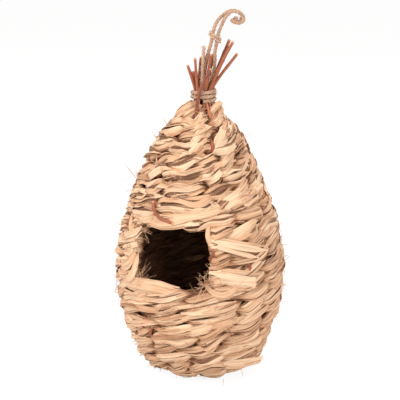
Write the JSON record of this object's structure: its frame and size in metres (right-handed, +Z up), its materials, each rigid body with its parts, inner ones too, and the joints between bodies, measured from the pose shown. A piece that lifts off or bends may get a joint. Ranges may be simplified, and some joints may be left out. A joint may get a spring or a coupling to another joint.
{
  "type": "hanging grass nest pod",
  "caption": "Teardrop pod of twined dry grass on a twig frame, with a round-cornered entrance, a jute-bound neck and a hanging loop.",
  "frame": {"origin": "middle of the surface that the pod stands on, on the axis of the woven body", "axes": "+Z up through the neck, -Y out through the entrance, +X to the right seen from the front"},
  "size_m": [0.1269, 0.1271, 0.2743],
  "materials": {
    "grass": "dry flattened grass blades, matt with fine lengthwise ribs",
    "twig": "unpeeled red-brown twigs, satin bark",
    "jute": "twisted jute twine, hairy and matt"
  },
  "bodies": {
    "root": {"base_row_1": "grass", "base_row_2": "grass", "base_row_3": "grass", "crown_row_1": "grass", "crown_row_2": "grass", "crown_row_3": "grass", "door_row_1": "grass", "door_row_2": "grass", "door_row_3": "grass", "door_row_4": "grass", "door_row_5": "grass", "door_twig_tuck": "twig", "door_twig_upper": "twig", "edge_wrap_1": "grass", "edge_wrap_2": "grass", "front_twig_crosswise": "twig", "hanging_loop": "jute", "left_twig_front_back": "twig", "loop_hitch": "jute", "lower_row_1": "grass", "lower_row_2": "grass", "lower_row_3": "grass", "lower_row_4": "grass", "lower_row_5": "grass", "lower_row_6": "grass", "lower_row_7": "grass", "lower_row_8": "grass", "lower_row_9": "grass", "middle_twig_crosswise": "twig", "middle_twig_front_back": "twig", "neck_binding": "jute", "rear_twig_crosswise": "twig", "right_twig_front_back": "twig", "twine_tail": "jute", "upper_row_1": "grass", "upper_row_2": "grass", "upper_row_3": "grass", "upper_row_4": "grass", "upper_row_5": "grass"}
  },
  "joints": []
}
